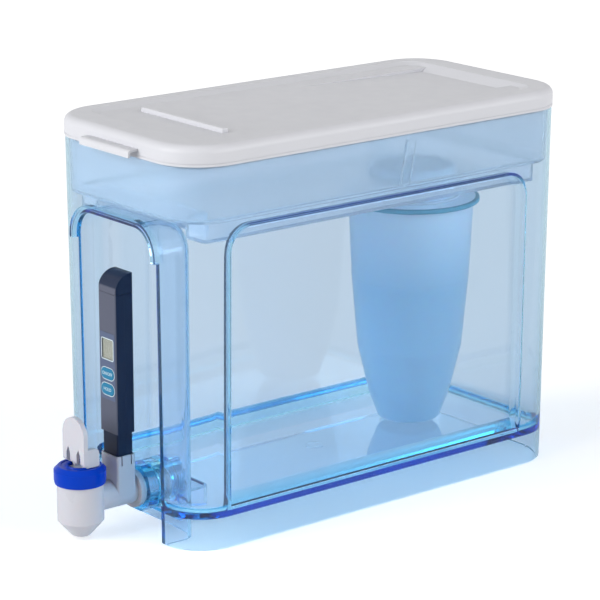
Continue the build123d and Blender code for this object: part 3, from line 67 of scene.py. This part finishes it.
# ---------------------------------------------------------------- meter's face
PAINTED_LIGHT_DEPTH = 0.0004          # of the front face that is painted paler as painted light
PRINT_THICKNESS = 0.00004
KEY_GAP = 0.00015             # key to its outline
KEY_OUTLINE = 0.00045
KEY_FLANGE = 0.0006           # key's hidden flange beyond its face
LCD_OUTLINE = 0.0006
LCD_CORNER = 0.0011
LCD_INSET = 0.0004            # outline's inner edge inside the lens
WORD_SIZE = 0.0034
KEYS = (                      # body, node, word
    ("on_off_button", "meter_on_off_button", "ON/OFF"),
    ("hold_button", "meter_hold_button", "HOLD"),
)

# ---------------------------------------------------------------- shared finish values
PLASTIC_IOR = 1.49
ROUGHNESS_SPREAD = (0.85, 1.15)   # a finish's roughness varies between these shares of it
NOISE_RANGE = (0.3, 0.7)          # where nearly all of the noise lies


# ---------------------------------------------------------------- node helpers
def new_material(name):
    """Material with a Principled shader, its node tree and its output."""
    material = bpy.data.materials.new(name)
    material.use_nodes = True
    tree = material.node_tree
    shader = tree.nodes["Principled BSDF"]
    return material, tree, shader, tree.nodes["Material Output"]


def colour(rgb):
    return (*rgb, 1.0)


def grain(tree, size, detail=2.0, stretch=(1.0, 1.0, 1.0)):
    """Noise with lumps of about the given size, from 0 to 1."""
    place = tree.nodes.new("ShaderNodeTexCoord")
    mapping = tree.nodes.new("ShaderNodeMapping")
    mapping.inputs["Scale"].default_value = stretch
    noise = tree.nodes.new("ShaderNodeTexNoise")
    noise.inputs["Scale"].default_value = 1 / size
    noise.inputs["Detail"].default_value = detail
    tree.links.new(place.outputs["Object"], mapping.inputs["Vector"])
    tree.links.new(mapping.outputs["Vector"], noise.inputs["Vector"])
    return noise.outputs["Fac"]


def spread(tree, value, low, high):
    """Value from 0 to 1 moved into the range low to high."""
    span = tree.nodes.new("ShaderNodeMapRange")
    span.inputs["From Min"].default_value = NOISE_RANGE[0]
    span.inputs["From Max"].default_value = NOISE_RANGE[1]
    span.inputs["To Min"].default_value = low
    span.inputs["To Max"].default_value = high
    tree.links.new(value, span.inputs["Value"])
    return span.outputs["Result"]


def uneven_roughness(tree, shader, value, roughness):
    low, high = (share * roughness for share in ROUGHNESS_SPREAD)
    tree.links.new(spread(tree, value, low, high), shader.inputs["Roughness"])


def mottle(tree, value, first, second):
    """Colour between two shades."""
    blend = tree.nodes.new("ShaderNodeMix")
    blend.data_type = "RGBA"
    blend.inputs["A"].default_value = colour(first)
    blend.inputs["B"].default_value = colour(second)
    tree.links.new(value, blend.inputs["Factor"])
    return blend.outputs["Result"]


def relief(tree, shader, layers):
    """Bump from (value, depth) layers."""
    normal = None
    for value, depth in layers:
        bump = tree.nodes.new("ShaderNodeBump")
        bump.inputs["Distance"].default_value = depth
        tree.links.new(value, bump.inputs["Height"])
        if normal:
            tree.links.new(normal, bump.inputs["Normal"])
        normal = bump.outputs["Normal"]
    tree.links.new(normal, shader.inputs["Normal"])


# ---------------------------------------------------------------- finishes
def clear_plastic(name, tint, roughness, soak, density, shade, haze=0.02, ripple=0.0001):
    """Clear moulding: soak and density colour the light along its way inside.

    haze is the share of the light that its faces scatter, shade its shadow and ripple
    the height of its slow waves.
    """
    material, tree, shader, output = new_material(name)
    shader.inputs["Base Color"].default_value = colour(tint)
    shader.inputs["Transmission Weight"].default_value = 1.0 - haze
    shader.inputs["IOR"].default_value = PLASTIC_IOR
    cloud = grain(tree, 0.03, 3.0)
    uneven_roughness(tree, shader, cloud, roughness)
    relief(tree, shader, [(grain(tree, 0.09, 1.0), ripple), (grain(tree, 0.0012), 0.000004)])
    inside = tree.nodes.new("ShaderNodeVolumeAbsorption")
    inside.inputs["Color"].default_value = colour(soak)
    inside.inputs["Density"].default_value = density
    tree.links.new(inside.outputs["Volume"], output.inputs["Volume"])
    lamp_way = tree.nodes.new("ShaderNodeBsdfTransparent")
    lamp_way.inputs["Color"].default_value = colour(shade)
    path = tree.nodes.new("ShaderNodeLightPath")
    choice = tree.nodes.new("ShaderNodeMixShader")
    tree.links.new(path.outputs["Is Shadow Ray"], choice.inputs["Fac"])
    tree.links.new(shader.outputs["BSDF"], choice.inputs[1])
    tree.links.new(lamp_way.outputs["BSDF"], choice.inputs[2])
    tree.links.new(choice.outputs["Shader"], output.inputs["Surface"])
    return material


def moulded_plastic(
    name, shade, roughness, texture=0.0004, depth=0.00001, glow=0.0, gloss=0.3, bloom=0.0
):
    """Opaque moulding with a fine spark-eroded texture and a faint unevenness.

    glow lets light soak into it, gloss is its mirror strength and bloom pales its edges.
    """
    material, tree, shader, _ = new_material(name)
    darker = tuple(0.95 * part for part in shade)
    cloud = grain(tree, 0.04, 3.0)
    tree.links.new(mottle(tree, cloud, darker, shade), shader.inputs["Base Color"])
    uneven_roughness(tree, shader, grain(tree, 0.012, 4.0), roughness)
    shader.inputs["IOR"].default_value = PLASTIC_IOR
    shader.inputs["Specular IOR Level"].default_value = gloss
    shader.inputs["Subsurface Weight"].default_value = glow
    shader.inputs["Subsurface Scale"].default_value = 0.004
    shader.inputs["Sheen Weight"].default_value = bloom
    shader.inputs["Sheen Roughness"].default_value = 0.5
    shader.inputs["Sheen Tint"].default_value = colour((0.85, 0.94, 1.0))
    relief(tree, shader, [(grain(tree, texture, 2.0), depth), (cloud, 0.00015)])
    return material


def shade_along(material, axis, start, end, first, second):
    """Base colour that goes from first at start to second at end of an object axis."""
    tree = material.node_tree
    place = tree.nodes.new("ShaderNodeTexCoord")
    split = tree.nodes.new("ShaderNodeSeparateXYZ")
    tree.links.new(place.outputs["Object"], split.inputs["Vector"])
    way = tree.nodes.new("ShaderNodeMapRange")
    way.inputs["From Min"].default_value = start
    way.inputs["From Max"].default_value = end
    tree.links.new(split.outputs[axis], way.inputs["Value"])
    base = tree.nodes["Principled BSDF"].inputs["Base Color"]
    tree.links.new(mottle(tree, way.outputs["Result"], first, second), base)
    return material


def meter_case(name, front, sides, roughness):
    """Moulding whose flat face towards the tap side is painted paler than its sides: painted light where
    the lamp falls on that face.
    """
    face_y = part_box("meter_front_shell")[0][1]
    material = moulded_plastic(name, sides, roughness, gloss=0.22)
    return shade_along(
        material, "Y", face_y + PAINTED_LIGHT_DEPTH, face_y + 2 * PAINTED_LIGHT_DEPTH, front, sides
    )


def filter_case(name, high, low, roughness):
    """Translucent shell, paler at its top than at its foot."""
    sleeve_low, sleeve_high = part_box("filter_upper_sleeve")
    material = moulded_plastic(name, low, roughness, glow=0.25, bloom=1.0)
    return shade_along(material, "Z", sleeve_low[2], sleeve_high[2], low, high)


def soft_rubber(name, shade, roughness):
    material, tree, shader, _ = new_material(name)
    dust = grain(tree, 0.006, 5.0)
    paler = tuple(min(1.0, 1.12 * part + 0.01) for part in shade)
    tree.links.new(mottle(tree, dust, shade, paler), shader.inputs["Base Color"])
    tree.links.new(spread(tree, dust, roughness, roughness + 0.15), shader.inputs["Roughness"])
    relief(tree, shader, [(grain(tree, 0.0005), 0.00002)])
    return material


def bright_metal(name, shade, roughness, brushing):
    """Metal with marks drawn out along X."""
    material, tree, shader, _ = new_material(name)
    marks = grain(tree, 0.0006, 3.0, brushing)
    darker = tuple(0.85 * part for part in shade)
    tree.links.new(mottle(tree, marks, darker, shade), shader.inputs["Base Color"])
    shader.inputs["Metallic"].default_value = 1.0
    tree.links.new(spread(tree, marks, roughness, roughness + 0.12), shader.inputs["Roughness"])
    relief(tree, shader, [(marks, 0.000008)])
    return material


def granules(name, dark, light, size, roughness):
    """Bed of loose grains or beads, painted darker towards each grain's edge as painted shade between
    the grains.
    """
    material, tree, shader, _ = new_material(name)
    place = tree.nodes.new("ShaderNodeTexCoord")
    cells = tree.nodes.new("ShaderNodeTexVoronoi")
    cells.inputs["Scale"].default_value = 1 / size
    tree.links.new(place.outputs["Object"], cells.inputs["Vector"])
    # colour goes from light at each grain's middle to dark at its edges: painted shade between the
    # grains
    tree.links.new(mottle(tree, cells.outputs["Distance"], light, dark), shader.inputs["Base Color"])
    shader.inputs["Roughness"].default_value = roughness
    relief(tree, shader, [(cells.outputs["Distance"], -0.4 * size)])
    return material


def woven_mesh(name, shade, pitch):
    """Fine filter cloth, painted darker where its threads dip as painted shade in the weave."""
    material, tree, shader, _ = new_material(name)
    place = tree.nodes.new("ShaderNodeTexCoord")
    weave = []
    for axis in ("X", "Y"):
        threads = tree.nodes.new("ShaderNodeTexWave")
        threads.bands_direction = axis
        threads.inputs["Scale"].default_value = 1 / (pitch * 2 * pi) * 2
        tree.links.new(place.outputs["Object"], threads.inputs["Vector"])
        weave.append(threads.outputs["Fac"])
    cross = tree.nodes.new("ShaderNodeMath")
    cross.operation = "MULTIPLY"
    tree.links.new(weave[0], cross.inputs[0])
    tree.links.new(weave[1], cross.inputs[1])
    # darker away from the thread crossings: painted shade in the weave's low spots
    darker = tuple(0.6 * part for part in shade)
    tree.links.new(mottle(tree, cross.outputs["Value"], darker, shade), shader.inputs["Base Color"])
    shader.inputs["Roughness"].default_value = 0.7
    relief(tree, shader, [(cross.outputs["Value"], 0.0001)])
    return material


FINISHES = {
    "clear_blue": clear_plastic(
        "clear_blue", (0.97, 0.935, 1.0), 0.02, (0.0, 0.79, 0.955), 75.0, (0.68, 0.77, 0.86), 0.012
    ),
    "reservoir_blue": clear_plastic(
        "reservoir_blue", (1.0, 0.985, 1.0), 0.14, (0.0, 0.42, 0.85), 5.0, (0.95, 0.965, 0.98), 0.18, 0.0
    ),
    "collar_clear": clear_plastic(
        "collar_clear", (0.88, 0.97, 1.0), 0.05, (0.0, 0.80, 0.96), 110.0, (0.75, 0.92, 0.99), 0.04
    ),
    "display_lens": clear_plastic(
        "display_lens", (1.0, 1.0, 1.0), 0.02, (0.9, 0.95, 0.9), 20.0, (0.95, 0.95, 0.95)
    ),
    "lid_white": moulded_plastic("lid_white", (0.695, 0.70, 0.74), 0.38, 0.0007, 0.000012),
    "tap_white": moulded_plastic("tap_white", (0.6, 0.6, 0.655), 0.32, glow=0.1),
    "cobalt_blue": moulded_plastic("cobalt_blue", (0.0, 0.045, 0.5), 0.2, gloss=0.12),
    "silicone": soft_rubber("silicone", (0.6, 0.64, 0.68), 0.4),
    "seal_teal": soft_rubber("seal_teal", (0.03, 0.3, 0.42), 0.4),
    "steel": bright_metal("steel", (0.62, 0.63, 0.65), 0.2, (0.05, 1.0, 1.0)),
    "filter_shell": filter_case("filter_shell", (0.68, 0.78, 0.88), (0.29, 0.50, 0.67), 0.4),
    "filter_mesh": woven_mesh("filter_mesh", (0.75, 0.8, 0.84), 0.0008),
    "filter_foam": soft_rubber("filter_foam", (0.7, 0.72, 0.75), 0.8),
    "carbon": granules("carbon", (0.01, 0.01, 0.012), (0.05, 0.05, 0.055), 0.0014, 0.6),
    "resin": granules("resin", (0.28, 0.14, 0.03), (0.66, 0.4, 0.12), 0.0009, 0.3),
    # first colour: the navy painted paler as painted light on the front face; second: the navy of the
    # sides
    "meter_navy": meter_case("meter_navy", (0.095, 0.105, 0.15), (0.008, 0.018, 0.05), 0.35),
    "meter_label": moulded_plastic("meter_label", (0.08, 0.11, 0.20), 0.42, 0.0003, gloss=0.5),
    "meter_key": moulded_plastic("meter_key", (0.02, 0.2, 0.36), 0.4, gloss=0.2),
    "print_white": moulded_plastic("print_white", (0.7, 0.82, 0.86), 0.45, 0.0002, 0.000002, gloss=0.2),
    "display_grey": moulded_plastic("display_grey", (0.195, 0.21, 0.17), 0.25, gloss=0.2),
    "board_green": moulded_plastic("board_green", (0.01, 0.12, 0.03), 0.35),
    "switch_black": moulded_plastic("switch_black", (0.015, 0.015, 0.015), 0.4),
    "tray_black": moulded_plastic("tray_black", (0.02, 0.02, 0.024), 0.4),
    "cell_steel": bright_metal("cell_steel", (0.72, 0.71, 0.69), 0.15, (1.0, 1.0, 0.2)),
    "contact_brass": bright_metal("contact_brass", (0.75, 0.58, 0.28), 0.2, (1.0, 1.0, 0.1)),
    "o_ring_black": soft_rubber("o_ring_black", (0.012, 0.012, 0.012), 0.45),
}


def finish_cad_nodes():
    for part in frame["record"]["subparts"]:
        node = frame["nodes"][part["node"]]
        for held in node.material_slots:
            held.material = FINISHES[part["material_slot"]]


# ---------------------------------------------------------------- prints on the meter
def face_turn(x, y, z):
    """Place of a flat piece made in the XY plane that is to face the tap side."""
    return Matrix.Translation((x, y, z)) @ Matrix.Rotation(pi / 2, 4, "X")


def add_print(name, mesh, body):
    """A printed mark that moves with a body."""
    mesh.materials.clear()
    mesh.materials.append(FINISHES["print_white"])
    mark = bpy.data.objects.new(name, mesh)
    bpy.context.scene.collection.objects.link(mark)
    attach(mark, body)


def outline_mesh(name, half_x, half_z, corner, width, place):
    """Rounded band round an opening, standing PRINT_THICKNESS proud."""
    grid = bmesh.new()
    bmesh.ops.create_grid(grid, x_segments=1, y_segments=1, size=1.0)
    bmesh.ops.scale(grid, vec=(half_x + width, half_z + width, 1.0), verts=grid.verts)
    bmesh.ops.bevel(
        grid,
        geom=grid.verts[:],
        offset=corner + width,
        segments=8,
        profile=0.5,
        affect="VERTICES",
        material=-1,
    )
    bmesh.ops.inset_region(
        grid, faces=grid.faces[:], thickness=width, use_boundary=True, use_even_offset=True
    )
    middle = max(grid.faces, key=lambda face: len(face.verts))
    bmesh.ops.delete(grid, geom=[middle], context="FACES")
    raised = bmesh.ops.extrude_face_region(grid, geom=grid.faces[:])["geom"]
    corners = [piece for piece in raised if isinstance(piece, bmesh.types.BMVert)]
    bmesh.ops.translate(grid, verts=corners, vec=(0, 0, PRINT_THICKNESS))
    bmesh.ops.recalc_face_normals(grid, faces=grid.faces[:])
    bmesh.ops.transform(grid, matrix=place, verts=grid.verts)
    mesh = bpy.data.meshes.new(name)
    grid.to_mesh(mesh)
    grid.free()
    return mesh


def word_mesh(name, word, place):
    curve = bpy.data.curves.new(name, "FONT")
    curve.body = word
    curve.size = WORD_SIZE
    curve.align_x = "CENTER"
    curve.align_y = "CENTER"
    curve.extrude = PRINT_THICKNESS / 2
    writer = bpy.data.objects.new(name, curve)
    bpy.context.scene.collection.objects.link(writer)
    bpy.context.view_layer.update()
    shown = writer.evaluated_get(bpy.context.evaluated_depsgraph_get())
    mesh = bpy.data.meshes.new_from_object(shown)
    mesh.name = name
    bpy.data.objects.remove(writer)
    mesh.transform(place)
    return mesh


def print_meter():
    label_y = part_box("meter_label_panel")[0][1]
    low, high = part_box("meter_display_lens")
    place = face_turn((low[0] + high[0]) / 2, label_y, (low[2] + high[2]) / 2)
    half_x = (high[0] - low[0]) / 2 - LCD_INSET
    half_z = (high[2] - low[2]) / 2 - LCD_INSET
    add_print(
        "display_outline",
        outline_mesh("display_outline", half_x, half_z, LCD_CORNER, LCD_OUTLINE, place),
        "meter",
    )
    for body, node, word in KEYS:
        low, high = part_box(node)
        x, z = (low[0] + high[0]) / 2, (low[2] + high[2]) / 2
        half_x = (high[0] - low[0]) / 2 - KEY_FLANGE + KEY_GAP
        half_z = (high[2] - low[2]) / 2 - KEY_FLANGE + KEY_GAP
        outline = outline_mesh(
            f"{body}_outline", half_x, half_z, half_z, KEY_OUTLINE, face_turn(x, label_y, z)
        )
        add_print(f"{body}_outline", outline, "meter")
        word_place = face_turn(x, low[1] - PRINT_THICKNESS / 2, z)
        add_print(f"{body}_word", word_mesh(f"{body}_word", word, word_place), body)


# ---------------------------------------------------------------- studio
def make_floor():
    grid = bmesh.new()
    bmesh.ops.create_circle(grid, cap_ends=True, segments=96, radius=FLOOR_RADIUS)
    bmesh.ops.translate(grid, verts=grid.verts, vec=(0, 0, -FLOOR_DROP))
    mesh = bpy.data.meshes.new("floor")
    grid.to_mesh(mesh)
    grid.free()
    floor = bpy.data.objects.new("floor", mesh)
    bpy.context.scene.collection.objects.link(floor)
    material, tree, shader, output = new_material("studio_floor")
    shader.inputs["Base Color"].default_value = colour((0.88, 0.88, 0.88))
    shader.inputs["Roughness"].default_value = 0.9
    shader.inputs["Specular IOR Level"].default_value = 0.1
    fill = tree.nodes.new("ShaderNodeEmission")
    through, straight = seen_through(tree)
    white = tree.nodes.new("ShaderNodeMath")
    white.operation = "MULTIPLY"
    white.inputs[1].default_value = FLOOR_WHITE
    tree.links.new(straight, white.inputs[0])
    strength = tree.nodes.new("ShaderNodeMath")
    strength.operation = "MULTIPLY_ADD"
    strength.inputs[1].default_value = FLOOR_THROUGH
    tree.links.new(through, strength.inputs[0])
    tree.links.new(white.outputs["Value"], strength.inputs[2])
    tree.links.new(strength.outputs["Value"], fill.inputs["Strength"])
    both = tree.nodes.new("ShaderNodeAddShader")
    tree.links.new(shader.outputs["BSDF"], both.inputs[0])
    tree.links.new(fill.outputs["Emission"], both.inputs[1])
    tree.links.new(both.outputs["Shader"], output.inputs["Surface"])
    mesh.materials.append(material)


def seen_through(tree):
    """Two values: 1 for a ray that gloss or clear plastic sent straight to the studio,
    and 1 for a camera ray.
    """
    path = tree.nodes.new("ShaderNodeLightPath")
    either = tree.nodes.new("ShaderNodeMath")
    either.operation = "MAXIMUM"
    tree.links.new(path.outputs["Is Glossy Ray"], either.inputs[0])
    tree.links.new(path.outputs["Is Transmission Ray"], either.inputs[1])
    unlit = tree.nodes.new("ShaderNodeMath")
    unlit.operation = "LESS_THAN"
    unlit.inputs[1].default_value = 0.5
    tree.links.new(path.outputs["Diffuse Depth"], unlit.inputs[0])
    both = tree.nodes.new("ShaderNodeMath")
    both.operation = "MULTIPLY"
    tree.links.new(either.outputs["Value"], both.inputs[0])
    tree.links.new(unlit.outputs["Value"], both.inputs[1])
    return both.outputs["Value"], path.outputs["Is Camera Ray"]


def make_sky():
    world = bpy.data.worlds.new("studio")
    bpy.context.scene.world = world
    world.use_nodes = True
    tree = world.node_tree
    sky = tree.nodes["Background"]
    sky.inputs["Color"].default_value = colour((1.0, 1.0, 1.0))
    through, straight = seen_through(tree)
    level = tree.nodes.new("ShaderNodeMapRange")
    level.inputs["To Min"].default_value = SKY_LIGHT
    level.inputs["To Max"].default_value = SEEN_THROUGH
    tree.links.new(through, level.inputs["Value"])
    white = tree.nodes.new("ShaderNodeMath")
    white.operation = "MAXIMUM"
    tree.links.new(level.outputs["Result"], white.inputs[0])
    tree.links.new(straight, white.inputs[1])
    tree.links.new(white.outputs["Value"], sky.inputs["Strength"])


def make_lamps():
    for name, power, azimuth, elevation, softness in LAMPS:
        lamp = bpy.data.lights.new(name, "SUN")
        lamp.energy = power
        lamp.angle = softness
        holder = bpy.data.objects.new(name, lamp)
        level = cos(elevation)
        towards = Vector((sin(azimuth) * level, -cos(azimuth) * level, sin(elevation)))
        holder.rotation_mode = "QUATERNION"
        holder.rotation_quaternion = towards.to_track_quat("Z", "Y")
        bpy.context.scene.collection.objects.link(holder)


def make_camera():
    lens = bpy.data.cameras.new("camera")
    lens.sensor_width = 36.0
    lens.lens = CAMERA_LENS
    camera = bpy.data.objects.new("camera", lens)
    bpy.context.scene.collection.objects.link(camera)
    level = cos(CAMERA_ELEVATION)
    back = Vector(
        (sin(CAMERA_AZIMUTH) * level, -cos(CAMERA_AZIMUTH) * level, sin(CAMERA_ELEVATION))
    )
    right = Vector((cos(CAMERA_AZIMUTH), sin(CAMERA_AZIMUTH), 0))
    turn = Matrix((right, back.cross(right), back)).transposed()
    turn = turn @ Matrix.Rotation(CAMERA_ROLL, 3, "Z")
    aim = AIM_RIGHT * right + Vector((0, 0, AIM_HEIGHT))
    camera.matrix_world = Matrix.Translation(aim + CAMERA_DISTANCE * back) @ turn.to_4x4()
    bpy.context.scene.camera = camera


finish_cad_nodes()
print_meter()
make_floor()
make_sky()
make_lamps()
make_camera()
bpy.context.scene.view_settings.view_transform = "Standard"
bpy.context.scene.cycles.max_bounces = LIGHT_BOUNCES
bpy.context.scene.cycles.glossy_bounces = LIGHT_BOUNCES
bpy.context.scene.cycles.transmission_bounces = LIGHT_BOUNCES
bpy.context.scene.cycles.transparent_max_bounces = LIGHT_BOUNCES
